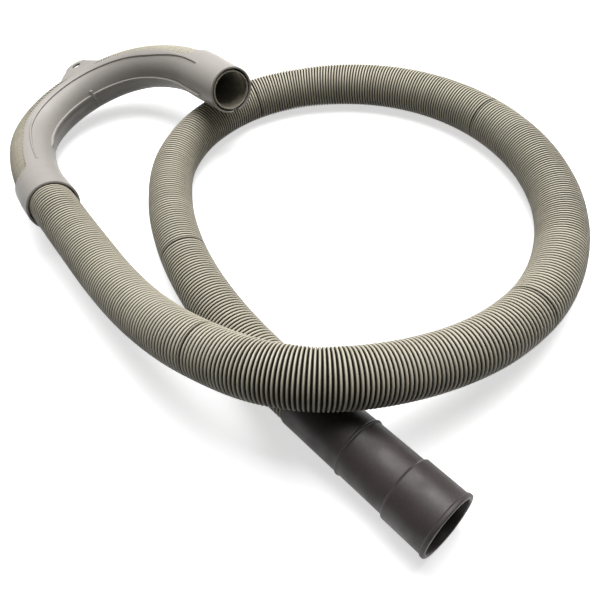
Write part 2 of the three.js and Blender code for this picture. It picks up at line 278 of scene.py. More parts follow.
# Colours
HOSE_CREST = (0.57, 0.53, 0.42)
# The flank and groove colours are painted shade: the ribs darken towards the bottom of each groove.
HOSE_FLANK_PAINTED_SHADE = (0.14, 0.127, 0.096)
HOSE_GROOVE_PAINTED_SHADE = (0.012, 0.010, 0.007)
HOSE_COLOUR_AND_PAINTED_SHADE_STOPS = [(0.45, HOSE_GROOVE_PAINTED_SHADE), (0.75, HOSE_FLANK_PAINTED_SHADE), (0.98, HOSE_CREST)]
# Painted shade inside the bore: its rings take this place on the colour ramp, below the crest.
INNER_SHADE = 0.84
HOOK_LIGHT = (0.42, 0.396, 0.364)
HOOK_DARK = (0.375, 0.353, 0.327)
HOOK_STOPS = [(0.3, HOOK_DARK), (0.7, HOOK_LIGHT)]
CUFF_LIGHT = (0.058, 0.047, 0.045)
CUFF_DARK = (0.036, 0.029, 0.028)
CUFF_STOPS = [(0.3, CUFF_DARK), (0.7, CUFF_LIGHT)]
FLOOR_BOUNCE = 0.06
FLOOR_SEEN = 0.85
FLOOR_STOPS = [(0.0, (FLOOR_BOUNCE,) * 3), (1.0, (FLOOR_SEEN,) * 3)]
FLOOR_GLOW = 0.62
RIB_TONE_SEED = 7
RIB_TONE_NUDGE = 0.00001

# Noise: how much detail it has, and the middle part of its range that is spread out
NOISE_DETAIL = 3.0
BUMP_DETAIL = 5.0
NOISE_MIDDLE = (0.3, 0.7)

# Floor and light
FLOOR_SIZE = 12
WORLD_LIGHT = 0.1
OVERHEAD_PLACE = Vector((0.45, 0.22, 1.25))
OVERHEAD_TARGET = Vector((0, 0.02, 0))
OVERHEAD_SIZE = 1.2
OVERHEAD_POWER = 32

# Worked out from the values above
BEND_LENGTH = BEND_RADIUS * BEND_SWEEP
HOOK_START = -LOWER_EASE_LENGTH - LOWER_LEG
HOOK_END = BEND_LENGTH + OUTLET_EASE_LENGTH + OUTLET_LEG
SHELL_START = HOOK_START + COLLAR_TRIM
LOWER_COLLAR_END = HOOK_START + LOWER_COLLAR
OUTLET_MOUTH_START = HOOK_END - OUTLET_MOUTH_LENGTH
WINDOW_START = -WINDOW_LOWER_REACH
WINDOW_END = BEND_LENGTH + WINDOW_OUTLET_REACH
BEAD_START = -BEAD_LOWER_REACH
BEAD_END = BEND_LENGTH + BEAD_OUTLET_REACH
FIN_START = -FIN_LOWER_REACH
FIN_END = BEND_LENGTH + FIN_OUTLET_REACH
CROSS_RIB_STATION = BEND_LENGTH * CROSS_RIB_SHARE
HOSE_END = HOOK_END - OUTLET_RING_RECESS
HOSE_GROOVE_RADIUS = HOSE_RADIUS - RIB_DEPTH
CUFF_AXIS_HEIGHT = CUFF_LIP_RADIUS
CUFF_START = CUFF_LIP_PLACE[1] + CUFF_LENGTH
HOOK_POSE = (
    Matrix.Translation(HOOK_PLACE)
    @ Matrix.Rotation(HOOK_LEAN_TOWARDS, 4, "Z")
    @ Matrix.Rotation(HOOK_LEAN, 4, "Y")
    @ Matrix.Rotation(HOOK_TURN - HOOK_LEAN_TOWARDS, 4, "Z")
)


def add_camera():
    camera = bpy.data.objects.new("photo_camera", bpy.data.cameras.new("photo_camera"))
    camera.data.sensor_width = CAMERA_SENSOR
    camera.data.lens = CAMERA_LENS
    ahead = Vector((math.sin(CAMERA_HEADING), math.cos(CAMERA_HEADING), 0))
    look = ahead * math.cos(CAMERA_TILT) - Vector((0, 0, math.sin(CAMERA_TILT)))
    level = Vector((ahead.y, -ahead.x, 0))
    rise = level.cross(look)
    right = level * math.cos(CAMERA_ROLL) + rise * math.sin(CAMERA_ROLL)
    up = rise * math.cos(CAMERA_ROLL) - level * math.sin(CAMERA_ROLL)
    turn = Matrix((right, up, -look)).transposed().to_4x4()
    camera.matrix_world = Matrix.Translation(CAMERA_PLACE) @ turn
    bpy.context.scene.collection.objects.link(camera)
    bpy.context.scene.camera = camera


def smooth_step(value, low, high):
    share = min(max((value - low) / (high - low), 0.0), 1.0)
    return share * share * (3 - 2 * share)


def rise_and_fall(value, rise_from, rise_to, fall_from, fall_to):
    """0 before the rise, 1 between the rise and the fall, and 0 after the fall."""
    return smooth_step(value, rise_from, rise_to) * (1 - smooth_step(value, fall_from, fall_to))


def hook_local(station, outward=0.0, up=0.0):
    """A point beside the hook's centreline, in the hook's own frame."""
    along_bend = min(max(station, 0.0), BEND_LENGTH)
    bend_angle = (math.pi + BEND_SWEEP) / 2 - along_bend / BEND_RADIUS
    past_bend = station - along_bend
    ease_radius = LOWER_EASE_RADIUS if past_bend < 0 else OUTLET_EASE_RADIUS
    along_ease = min(max(past_bend, -LOWER_EASE_LENGTH), OUTLET_EASE_LENGTH)
    angle = bend_angle - along_ease / ease_radius
    along_leg = past_bend - along_ease
    centre = BEND_RADIUS - ease_radius
    reach = ease_radius + outward
    x = math.cos(bend_angle) * centre + math.cos(angle) * reach + math.sin(angle) * along_leg
    y = math.sin(bend_angle) * centre + math.sin(angle) * reach - math.cos(angle) * along_leg
    return Vector((x, y, up))


def hook_point(station, outward=0.0, up=0.0):
    return HOOK_POSE @ hook_local(station, outward, up)


def curve_through(points, steps):
    """A centripetal curve through the points, with that many steps between two of them."""
    points = np.array(points, float)
    first = 2 * points[0] - points[1]
    last = 2 * points[-1] - points[-2]
    ends = np.vstack([first, points, last])
    share = np.linspace(0, 1, steps, endpoint=False)[:, None]
    line = []
    for before, start, end, after in zip(ends, ends[1:], ends[2:], ends[3:]):
        gap_before = np.linalg.norm(start - before) ** 0.5
        gap = np.linalg.norm(end - start) ** 0.5
        gap_after = np.linalg.norm(after - end) ** 0.5
        leave = (start - before) / gap_before - (end - before) / (gap_before + gap) + (end - start) / gap
        arrive = (end - start) / gap - (after - start) / (gap + gap_after) + (after - end) / gap_after
        leave *= gap
        arrive *= gap
        bend = 2 * start - 2 * end + leave + arrive
        lean = -3 * start + 3 * end - 2 * leave - arrive
        line.append(start + share * (leave + share * (lean + share * bend)))
    line.append(points[-1:])
    return np.vstack(line)


class Line:
    """A line in space that gives the place and the two cross directions at any station along it."""

    def __init__(self, points):
        self.points = np.array(points, float)
        steps = np.diff(self.points, axis=0)
        lengths = np.linalg.norm(steps, axis=1)
        self.stations = np.concatenate([[0], np.cumsum(lengths)])
        self.length = self.stations[-1]
        self.tangents = np.gradient(self.points, self.stations, axis=0)
        self.tangents /= np.linalg.norm(self.tangents, axis=1)[:, None]
        self.sides = self.carried_sides()
        self.bends = self.smoothed_bends()

    def smoothed_bends(self):
        """How the line bends at each of its points, towards the bend's centre, without sudden jumps."""
        bends = np.gradient(self.tangents, self.stations, axis=0)
        window = np.ones(BEND_SMOOTHING) / BEND_SMOOTHING
        return np.stack([np.convolve(bends[:, k], window, mode="same") for k in range(3)], 1)

    def carried_sides(self):
        """A cross direction at each point, carried along without a twist."""
        side = np.cross(self.tangents[0], (0, 0, 1))
        side /= np.linalg.norm(side)
        sides = []
        for tangent in self.tangents:
            side = side - tangent * np.dot(side, tangent)
            side /= np.linalg.norm(side)
            sides.append(side)
        return np.array(sides)

    def blend(self, values, stations):
        return np.stack([np.interp(stations, self.stations, values[:, k]) for k in range(3)], 1)

    def at(self, stations):
        place = self.blend(self.points, stations)
        tangent = self.blend(self.tangents, stations)
        tangent /= np.linalg.norm(tangent, axis=1)[:, None]
        side = self.blend(self.sides, stations)
        side -= tangent * np.sum(side * tangent, axis=1)[:, None]
        side /= np.linalg.norm(side, axis=1)[:, None]
        return place, side, np.cross(tangent, side)


def hose_line():
    """The whole centreline: spigot in the cuff, free stretch, hook, and the ring at the outlet."""
    x = CUFF_LIP_PLACE[0]
    leaves_cuff = CUFF_START + GAP
    free = [(x, along, CUFF_AXIS_HEIGHT) for along in (leaves_cuff, leaves_cuff + HOSE_RADIUS / 2)]
    free += [(across, along, HOSE_RADIUS + lift) for across, along, lift in FREE_ROUTE]
    free += [tuple(hook_point(HOOK_START)), tuple(hook_point(HOOK_START + LOWER_LEG))]
    in_cuff = np.linspace(CUFF_START - SPIGOT_LENGTH, CUFF_START, SPIGOT_STEPS, endpoint=False)
    spigot = [(x, along, CUFF_AXIS_HEIGHT) for along in in_cuff]
    in_hook = np.linspace(HOOK_START + LOWER_LEG, HOSE_END, HOOK_LINE_POINTS)[1:]
    bend = [tuple(hook_point(station)) for station in in_hook]
    return Line(np.vstack([spigot, curve_through(free, FREE_ROUTE_STEPS), bend]))


def shaded_object(name, mesh, sharp_angle):
    mesh.polygons.foreach_set("use_smooth", [True] * len(mesh.polygons))
    mesh.set_sharp_from_angle(angle=math.radians(sharp_angle))
    piece = bpy.data.objects.new(name, mesh)
    bpy.context.scene.collection.objects.link(piece)
    return piece


def object_from_faces(name, vertices, faces, sharp_angle):
    mesh = bpy.data.meshes.new(name)
    mesh.from_pydata(vertices, [], faces)
    return shaded_object(name, mesh, sharp_angle)


def object_from_work(name, work, sharp_angle):
    mesh = bpy.data.meshes.new(name)
    work.to_mesh(mesh)
    work.free()
    return shaded_object(name, mesh, sharp_angle)


def turned_about(line, profile, sides, to_middle=0.0):
    """Rings of a closed profile, given as (station, radius) pairs, about a line.

    A ring that belongs to a rib has its distance to the rib's middle in to_middle. There the rib keeps
    its width where the line bends, so the grooves open on the outer side and close on the inner side.
    """
    stations = np.array([station for station, radius in profile])
    radii = np.array([radius for station, radius in profile])
    place, side, rise = line.at(stations)
    angles = np.arange(sides) * 2 * math.pi / sides
    spokes = radii[:, None, None] * (
        np.cos(angles)[None, :, None] * side[:, None, :]
        + np.sin(angles)[None, :, None] * rise[:, None, :]
    )
    stretch = -np.sum(spokes * line.blend(line.bends, stations)[:, None, :], axis=2)
    slide = (np.ones(len(profile)) * to_middle)[:, None] * stretch
    tangent = np.cross(side, rise)
    rings = place[:, None, :] + spokes + slide[:, :, None] * tangent[:, None, :]
    rows = len(profile)
    row = np.arange(rows)[:, None]
    column = np.arange(sides)[None, :]
    next_row = (row + 1) % rows
    next_column = (column + 1) % sides
    corners = ((next_row, column), (next_row, next_column), (row, next_column), (row, column))
    faces = np.stack([corner_row * sides + corner_column for corner_row, corner_column in corners], axis=-1)
    return rings.reshape(-1, 3).tolist(), faces.reshape(-1, 4).tolist()


def rib_starts(start, end):
    """Where each rib starts between two stations, with the spacing as it varies along the hose."""
    known_at = [station for station, spacing in RIB_SPACING]
    known = [spacing for station, spacing in RIB_SPACING]
    stations = np.linspace(start, end, RIB_SPACING_SAMPLES)
    per_metre = 1 / np.interp(stations, known_at, known)
    count_so_far = np.concatenate([[0], np.cumsum((per_metre[1:] + per_metre[:-1]) / 2 * np.diff(stations))])
    ribs = round(count_so_far[-1])
    return np.interp(np.linspace(0, count_so_far[-1], ribs + 1), count_so_far, stations)


def rib_profile(starts, low, high):
    """Stations and radii over a run of ribs. The crest is rounded and the groove between is narrow."""
    rows = []
    for start, following in zip(starts, starts[1:]):
        past_line = (start - MOULD_LINE_FIRST) % MOULD_LINE_STEP
        shares = MOULD_LINE_SHARES if past_line < following - start else RIB_SHARES
        for share, rise in zip(shares, RIB_RISES):
            rows.append((start + share * (following - start), low + (high - low) * rise))
    return rows


def spigot_profile(run_start):
    """The outside of the plain spigot, up to where the ribs start."""
    return [
        (0.0, SPIGOT_RADIUS - SPIGOT_CHAMFER),
        (SPIGOT_CHAMFER, SPIGOT_RADIUS),
        (run_start - SPIGOT_SHOULDER, SPIGOT_RADIUS),
    ]


def outlet_ring_profile(run_end, length):
    """The outside of the plain ring at the outlet, from where the ribs end."""
    return [
        (run_end + OUTLET_RING_SHOULDER, OUTLET_RING_RADIUS),
        (length - OUTLET_RING_ROUNDING, OUTLET_RING_RADIUS),
        (length, OUTLET_RING_RADIUS - OUTLET_RING_CHAMFER),
    ]


def bore_profile(run_start, length):
    """The inside of the hose, with ribs only as far in as the outlet lets them be seen."""
    smooth_from = length - SMOOTH_MOUTH_LENGTH
    seen_from = smooth_from - INNER_RIBS_SEEN * INNER_RIB_PITCH
    plain = np.linspace(run_start + PLAIN_BORE_MARGIN, seen_from - PLAIN_BORE_MARGIN, PLAIN_BORE_RINGS)
    seen_starts = np.linspace(seen_from, smooth_from, INNER_RIBS_SEEN + 1)
    half_depth = INNER_RIB_DEPTH / 2
    profile = [(0.0, SPIGOT_BORE), (run_start, SPIGOT_BORE)]
    profile += [(station, HOSE_GROOVE_RADIUS - HOSE_WALL) for station in plain]
    profile += rib_profile(seen_starts, OUTLET_RING_BORE - half_depth, OUTLET_RING_BORE + half_depth)
    profile += [
        (smooth_from, OUTLET_RING_BORE),
        (length - OUTLET_RING_CHAMFER, OUTLET_RING_BORE),
        (length, OUTLET_RING_BORE + OUTLET_RING_CHAMFER),
    ]
    return profile


def distances_to_middle(stations, starts, first_row):
    """For each ring above a rib's groove, how far along the hose the middle of its rib lies."""
    rib_rows = first_row + np.arange((len(starts) - 1) * len(RIB_RISES)).reshape(-1, len(RIB_RISES))
    raised_rows = rib_rows[:, 1:]
    middles = (starts[:-1] + starts[1:]) / 2
    distances = np.zeros(len(stations))
    distances[raised_rows] = middles[:, None] - stations[raised_rows]
    return distances


def make_hose(line):
    """The ribbed hose. For its colour, it keeps each ring's height in its rib, from which the material
    paints shade into the grooves, a fixed painted shade for the bore, and a tone for each rib.
    """
    run_start = SPIGOT_LENGTH + GAP
    run_end = line.length - OUTLET_RING_LENGTH
    starts = rib_starts(run_start, run_end)
    spigot = spigot_profile(run_start)
    ring = outlet_ring_profile(run_end, line.length)
    ribs = rib_profile(starts, HOSE_GROOVE_RADIUS, HOSE_RADIUS)
    outside = spigot + ribs + [(run_end, HOSE_GROOVE_RADIUS)] + ring
    profile = outside + bore_profile(run_start, line.length)[::-1]
    stations = np.array([station for station, radius in profile])
    radii = np.array([radius for station, radius in profile])
    to_middle = distances_to_middle(stations, starts, len(spigot))
    vertices, faces = turned_about(line, profile, HOSE_SIDES, to_middle)
    hose = object_from_faces("ribbed_hose", vertices, faces, HOSE_SHARP_ANGLE)
    # These values drive the painted shade: dark in the grooves, and the bore set to INNER_SHADE.
    crest = np.clip((radii - HOSE_GROOVE_RADIUS) / RIB_DEPTH, 0, 1)
    crest[: len(spigot)] = 1
    crest[len(outside) - len(ring) : len(outside) + 1] = 1
    crest[len(outside) + 1 :] = INNER_SHADE
    rib_of = np.searchsorted(starts, stations + RIB_TONE_NUDGE)
    tones = np.random.default_rng(RIB_TONE_SEED).uniform(0, 1, rib_of.max() + 1)
    for name, values in (("crest", crest), ("tone", tones[rib_of])):
        layer = hose.data.attributes.new(name, "FLOAT", "POINT")
        layer.data.foreach_set("value", np.repeat(values, HOSE_SIDES))
    return hose


def rounded_profile(corners):
    """A closed outline of (station, radius) pairs, from corners that each have a rounding radius."""
    count = len(corners)
    outline = []
    for index, (station, radius, rounding) in enumerate(corners):
        here = Vector((station, radius))
        before = Vector(corners[index - 1][:2])
        after = Vector(corners[(index + 1) % count][:2])
        reach_in = min(rounding, (before - here).length * ROUNDING_LONGEST_SHARE)
        reach_out = min(rounding, (after - here).length * ROUNDING_LONGEST_SHARE)
        enter = here + (before - here).normalized() * reach_in
        leave = here + (after - here).normalized() * reach_out
        for step in range(ROUNDING_STEPS + 1):
            t = step / ROUNDING_STEPS
            point = enter * (1 - t) ** 2 + here * 2 * t * (1 - t) + leave * t ** 2
            outline.append((point.x, point.y))
    return outline


def make_cuff():
    """The rubber cuff: rolled lip, socket, step, ridge and a rounded back edge."""
    spigot_bore = SPIGOT_RADIUS + GAP
    spigot_depth = CUFF_LENGTH - SPIGOT_LENGTH - GAP
    ridge_radius = CUFF_RADIUS + CUFF_RIDGE_HEIGHT
    ridge_top = CUFF_RIDGE_TOP_WIDTH / 2
    ridge_foot = CUFF_RIDGE_FOOT_WIDTH / 2
    fine = CUFF_FINE_ROUNDING
    corners = [
        (0.0, CUFF_MOUTH_RADIUS, CUFF_MOUTH_ROUNDING),
        (0.0, CUFF_LIP_RADIUS, CUFF_LIP_ROUNDING),
        (CUFF_LIP_LENGTH, CUFF_LIP_RADIUS, CUFF_LIP_ROUNDING),
        (CUFF_LIP_LENGTH + CUFF_LIP_SLOPE, CUFF_SOCKET_RADIUS, fine),
        (CUFF_SOCKET_LENGTH - CUFF_STEP_SLOPE, CUFF_SOCKET_RADIUS, CUFF_STEP_ROUNDING),
        (CUFF_SOCKET_LENGTH + CUFF_STEP_SLOPE, CUFF_RADIUS, fine),
        (CUFF_RIDGE_STATION - ridge_foot, CUFF_RADIUS, fine),
        (CUFF_RIDGE_STATION - ridge_top, ridge_radius, fine),
        (CUFF_RIDGE_STATION + ridge_top, ridge_radius, fine),
        (CUFF_RIDGE_STATION + ridge_foot, CUFF_RADIUS, fine),
        (CUFF_LENGTH, CUFF_RADIUS, CUFF_BACK_ROUNDING),
        (CUFF_LENGTH, spigot_bore, fine),
        (spigot_depth, spigot_bore, fine),
        (spigot_depth - CUFF_BORE_SLOPE, CUFF_BORE_RADIUS, fine),
        (CUFF_MOUTH_FLARE, CUFF_BORE_RADIUS, CUFF_FLARE_ROUNDING),
    ]
    x, lip = CUFF_LIP_PLACE
    alongs = np.linspace(lip, lip + CUFF_LENGTH, CUFF_AXIS_STEPS + 1)
    axis = Line([(x, along, CUFF_AXIS_HEIGHT) for along in alongs])
    vertices, faces = turned_about(axis, rounded_profile(corners), CUFF_SIDES)
    return object_from_faces("rubber_cuff", vertices, faces, CUFF_SHARP_ANGLE)


def window_inset(station):
    """How far outward from the hose's centreline the window's edge lies, or None where it is closed."""
    past_start = station - WINDOW_START
    to_end = WINDOW_END - station
    if past_start < 0 or to_end < 0:
        return None
    slope = min(past_start / WINDOW_LOWER_REACH, 1)
    inset = -WINDOW_END_INSET - (WINDOW_INSET - WINDOW_END_INSET) * slope
    for past, corner in ((past_start, WINDOW_LOWER_CORNER), (to_end, WINDOW_OUTLET_CORNER)):
        if past < corner:
            inset += corner - math.sqrt(corner * corner - (corner - past) ** 2)
    return inset


def window_edge(station):
    """The angle from the bend's inner side to the window's edge."""
    place = min(max(station, WINDOW_START), WINDOW_END)
    return math.degrees(math.acos(-window_inset(place) / CHANNEL_RADIUS))


def bead_drift(station):
    """How many degrees the bead leaves its usual place towards the hook's outer side."""
    towards_outlet = BEAD_OUTLET_DRIFT * smooth_step(station, BEND_LENGTH, BEAD_END)
    return towards_outlet + BEAD_LOWER_DRIFT * (1 - smooth_step(station, BEAD_START, 0))


def bead_rise(station, mark):
    low, high = BEAD_MARKS
    across = rise_and_fall(mark, low - BEAD_FOOT, low + BEAD_SLOPE, high - BEAD_SLOPE, high + BEAD_FOOT)
    along = rise_and_fall(
        station, BEAD_START, BEAD_START + BEAD_LOWER_SLOPE, BEAD_END - BEAD_OUTLET_SLOPE, BEAD_END
    )
    return BEAD_HEIGHT * across * along


def fin_rise(station, mark):
    half = math.degrees(FIN_THICKNESS / 2 / CHANNEL_RADIUS)
    across = 1 - smooth_step(abs(mark), half, half + FIN_SLOPE)
    along = rise_and_fall(
        station, FIN_START, FIN_START + FIN_LOWER_SLOPE, FIN_END - FIN_OUTLET_SLOPE, FIN_END
    )
    return FIN_HEIGHT * across * along


def cross_rib_rise(station, mark):
    low, high = CROSS_RIB_MARKS
    end = CROSS_RIB_END_SLOPE
    side_from, side_to = (CROSS_RIB_WIDTH / 2 + side for side in CROSS_RIB_SIDE_SLOPE)
    across = rise_and_fall(mark, low - end, low + end, high - end, high + end)
    along = 1 - smooth_step(abs(station - CROSS_RIB_STATION), side_from, side_to)
    return CROSS_RIB_HEIGHT * across * along


def hook_radius(station, mark):
    """The hook's outer radius at a station and a mark, with its collars and the highest raised form."""
    raised = max(bead_rise(station, mark), fin_rise(station, mark), cross_rib_rise(station, mark))
    lower = 1 - smooth_step(station, LOWER_COLLAR_END - LOWER_COLLAR_FLOW, LOWER_COLLAR_END)
    outlet = smooth_step(station, HOOK_END - OUTLET_COLLAR_FLOW, HOOK_END)
    collars = (COLLAR_RADIUS - CHANNEL_RADIUS) * lower + (OUTLET_COLLAR_RADIUS - CHANNEL_RADIUS) * outlet
    return CHANNEL_RADIUS + collars + raised


def hook_bore(station):
    """The hook's inner radius, which narrows in the outlet's collar and again at its mouth."""
    collar_end = OUTLET_MOUTH_START - 2 * OUTLET_MOUTH_SLOPE
    collar = smooth_step(station, HOOK_END - OUTLET_COLLAR_FLOW / 2, collar_end)
    mouth = smooth_step(station, OUTLET_MOUTH_START - OUTLET_MOUTH_SLOPE, OUTLET_MOUTH_START)
    bore = CHANNEL_BORE + (OUTLET_COLLAR_BORE - CHANNEL_BORE) * collar
    return bore + (OUTLET_MOUTH_BORE - OUTLET_COLLAR_BORE) * mouth


def hook_stations():
    """Stations close together where something starts, ends or turns, and further apart between."""
    fine_places = [
        (SHELL_START, SHELL_START + FINE_RIM),
        (BEAD_START - HOOK_FINE_STEP, BEAD_START + FINE_RIM),
        (FIN_START - FINE_FIN_START, FIN_START + FIN_LOWER_SLOPE),
        (CROSS_RIB_STATION - FINE_CROSS_RIB, CROSS_RIB_STATION + FINE_CROSS_RIB),
        (BEAD_END - FINE_RIM, BEAD_END + HOOK_FINE_STEP),
        (FIN_END - FIN_OUTLET_SLOPE, FIN_END),
        (OUTLET_MOUTH_START - OUTLET_MOUTH_SLOPE, OUTLET_MOUTH_START),
        (HOOK_END - FINE_RIM, HOOK_END),
    ]
    stations = list(np.arange(SHELL_START, HOOK_END, HOOK_STEP))
    for low, high in fine_places:
        stations += list(np.linspace(low, high, round((high - low) / HOOK_FINE_STEP) + 1))
    for step in range(WINDOW_CORNER_STEPS + 1):
        share = 1 - math.cos(math.pi / 2 * step / WINDOW_CORNER_STEPS)
        stations.append(WINDOW_START + WINDOW_LOWER_CORNER * share)
        stations.append(WINDOW_END - WINDOW_OUTLET_CORNER * share)
    stations += [HOOK_END - NOTCH_DEPTH, HOOK_END]
    stations = sorted(stations)
    kept = [stations[0]]
    for station in stations[1:]:
        if station - kept[-1] > HOOK_LEAST_STEP:
            kept.append(station)
    return kept


def hook_marks():
    """Marks across the channel, as far as the columns that move with the window's edge."""
    marks = list(np.linspace(-FIXED_MARKS_REACH, FIXED_MARKS_REACH, FIXED_MARKS_COUNT))
    for mark in FIN_MARKS:
        marks += [-mark, mark]
    for mark in CROSS_RIB_MARKS:
        marks += [mark - CROSS_RIB_END_SLOPE, mark + CROSS_RIB_END_SLOPE]
    for mark, inward in zip(BEAD_MARKS, (1, -1)):
        marks += [mark + inward * step for step in (-BEAD_FOOT, 0, BEAD_FOOT, BEAD_SLOPE)]
    return sorted(set(round(mark, 2) for mark in marks))


def hook_row(station):
    """Pairs of (angle, mark) of one row of the shell, from the outer side all the way round to it."""
    edge = window_edge(station)
    drift = bead_drift(station)
    middle = [(mark + drift * smooth_step(mark, *DRIFT_MARKS), mark) for mark in hook_marks()]
    first = middle[0][0]
    last = middle[-1][0]
    far = list(np.linspace(edge, 180, CLOSING_COLUMNS + 1)[1:])
    rising = [last + (edge - last) * share for share in EDGE_SHARES] + far
    falling = [first + (-edge - first) * share for share in EDGE_SHARES] + [-angle for angle in far]
    outside = 2 * FIXED_MARKS_REACH
    before = [(angle, -outside) for angle in reversed(falling)]
    after = [(angle, outside) for angle in rising]
    return before + middle + after


def shell_places(station):
    """The outer and the inner row of places at a station, with rounded rims and window edges."""
    from_rim = min(station - SHELL_START, HOOK_END - station)
    into_rounding = max(0, COLLAR_ROUNDING - from_rim)
    rim = COLLAR_ROUNDING - math.sqrt(max(0, COLLAR_ROUNDING ** 2 - into_rounding ** 2))
    edge = window_edge(station)
    is_open = window_inset(station) is not None
    outer = []
    inner = []
    for degrees, mark in hook_row(station):
        near_edge = max(0, 1 - abs(edge - abs(degrees)) / EDGE_ROUNDING_ANGLE) if is_open else 0
        rounding = EDGE_ROUNDING_DEPTH * near_edge ** 2
        angle = math.radians(degrees)
        for places, radius in (
            (outer, hook_radius(station, mark) - rim - rounding),
            (inner, hook_bore(station) + rim * INNER_RIM_SHARE + rounding),
        ):
            places.append(hook_point(station, -radius * math.cos(angle), radius * math.sin(angle)))
    return outer, inner


def wall_cells(stations, columns):
    """For each cell between two stations and two columns, whether the shell has a wall there."""
    cells = np.ones((len(stations) - 1, columns - 1), bool)
    beyond_edge = np.ones(columns - 1, bool)
    beyond_edge[CLOSING_COLUMNS : columns - 1 - CLOSING_COLUMNS] = False
    first_mark = CLOSING_COLUMNS + len(EDGE_SHARES)
    notch_from, notch_to = (first_mark - place for place in reversed(NOTCH_COLUMNS))
    for row in range(len(stations) - 1):
        middle = (stations[row] + stations[row + 1]) / 2
        if window_inset(middle) is not None:
            cells[row, beyond_edge] = False
        if middle > HOOK_END - NOTCH_DEPTH:
            cells[row, notch_from:notch_to] = False
    return cells


def shell_faces(cells):
    """Faces over both sides of each cell that has a wall, and across its rim where a wall ends.

    A face's corners are (row, layer, column), and layer 0 is the outer one.
    """
    rows, columns = cells.shape

    def has_wall(row, column):
        return 0 <= row < rows and cells[row, column % columns]

    faces = []
    for row, column in zip(*np.nonzero(cells)):
        here = (row, column)
        beside = (row, column + 1)
        next_row = (row + 1, column)
        next_beside = (row + 1, column + 1)
        for layer in (0, 1):
            faces.append([(r, layer, c) for r, c in (here, beside, next_beside, next_row)])
        for neighbour, start, end in (
            ((row, column - 1), here, next_row),
            ((row, column + 1), beside, next_beside),
            ((row - 1, column), here, beside),
            ((row + 1, column), next_row, next_beside),
        ):
            if not has_wall(*neighbour):
                rim = ((start, 0), (end, 0), (end, 1), (start, 1))
                faces.append([(corner[0], layer, corner[1]) for corner, layer in rim])
    return faces


def make_hook_shell():
    """The hook's moulding as a thin shell, open at its window, its notch and both ends."""
    stations = hook_stations()
    columns = len(hook_row(stations[0]))
    work = bmesh.new()
    spots = []
    for station in stations:
        layers = shell_places(station)
        spots.append([[work.verts.new(place) for place in places] for places in layers])
    for face in shell_faces(wall_cells(stations, columns)):
        work.faces.new([spots[row][layer][column] for row, layer, column in face])
    loose = [vertex for vertex in work.verts if not vertex.link_faces]
    bmesh.ops.delete(work, geom=loose, context="VERTS")
    bmesh.ops.remove_doubles(work, verts=work.verts, dist=MERGE_DISTANCE)
    bmesh.ops.recalc_face_normals(work, faces=work.faces)
    return object_from_work("hook_moulding", work, HOOK_SHARP_ANGLE)


def tab_outline():
    """The tab's outline in its own frame: x along the bend and y outward from the hose's centreline."""
    root = -TAB_ROOT_INSET
    tip = TAB_REACH
    corner = TAB_CORNER
    half_tip = TAB_TIP_WIDTH / 2
    shoulder = half_tip + corner / 2
    pull = half_tip + corner / 4
    curves = [
        ((-TAB_ROOT_HALF, root), (-TAB_ROOT_HALF + corner, root + corner), (-shoulder, tip / 2)),
        ((-shoulder, tip / 2), (-pull, tip - TAB_TIP_PULL), (0, tip)),
        ((0, tip), (pull, tip), (shoulder, tip - corner)),
    ]
    outline = []
    for start, bent_to, end in curves:
        for step in range(TAB_CURVE_STEPS):
            t = step / TAB_CURVE_STEPS
            weights = ((1 - t) ** 2, 2 * t * (1 - t), t * t)
            outline.append([np.dot(weights, (start[k], bent_to[k], end[k])) for k in (0, 1)])
    outline.append(curves[-1][2])
    outline.append((TAB_ROOT_HALF, root))
    return outline


def tab_eye():
    middle = TAB_REACH - TAB_EYE_SETBACK
    eye = []
    for step in range(TAB_EYE_STEPS):
        turn = 2 * math.pi * step / TAB_EYE_STEPS
        eye.append((TAB_EYE_LENGTH / 2 * math.cos(turn), middle + TAB_EYE_WIDTH / 2 * math.sin(turn)))
    return eye


def make_tab():
    """The flat tab with its oval eye, as a thick plate with softened edges."""
    work = bmesh.new()
    edges = []
    for loop in (tab_outline(), tab_eye()):
        corners = [work.verts.new((x, y, 0)) for x, y in loop]
        edges += [work.edges.new((a, b)) for a, b in zip(corners, corners[1:] + corners[:1])]
    filled = bmesh.ops.triangle_fill(work, use_beauty=True, use_dissolve=False, edges=edges)
    faces = [item for item in filled["geom"] if isinstance(item, bmesh.types.BMFace)]
    raised = bmesh.ops.extrude_face_region(work, geom=faces)
    tops = [item for item in raised["geom"] if isinstance(item, bmesh.types.BMVert)]
    bmesh.ops.translate(work, verts=tops, vec=(0, 0, TAB_THICKNESS))
    for vertex in work.verts:
        vertex.co.z -= TAB_ROOT_DROP * smooth_step(-vertex.co.y, 0, TAB_ROOT_INSET)
    bmesh.ops.recalc_face_normals(work, faces=work.faces)
    joined = [edge for edge in work.edges if len(edge.link_faces) == 2]
    rims = [edge for edge in joined if edge.calc_face_angle(0) > TAB_RIM_LEAST_ANGLE]
    bmesh.ops.bevel(
        work,
        geom=rims,
        offset=TAB_BEVEL,
        segments=TAB_BEVEL_STEPS,
        profile=TAB_BEVEL_PROFILE,
        affect="EDGES",
    )
    work.transform(
        HOOK_POSE
        @ Matrix.Rotation(-TAB_ANGLE, 4, "Z")
        @ Matrix.Translation((0, BEND_RADIUS, TAB_UNDERSIDE))
    )
    return object_from_work("hook_tab", work, HOOK_SHARP_ANGLE)


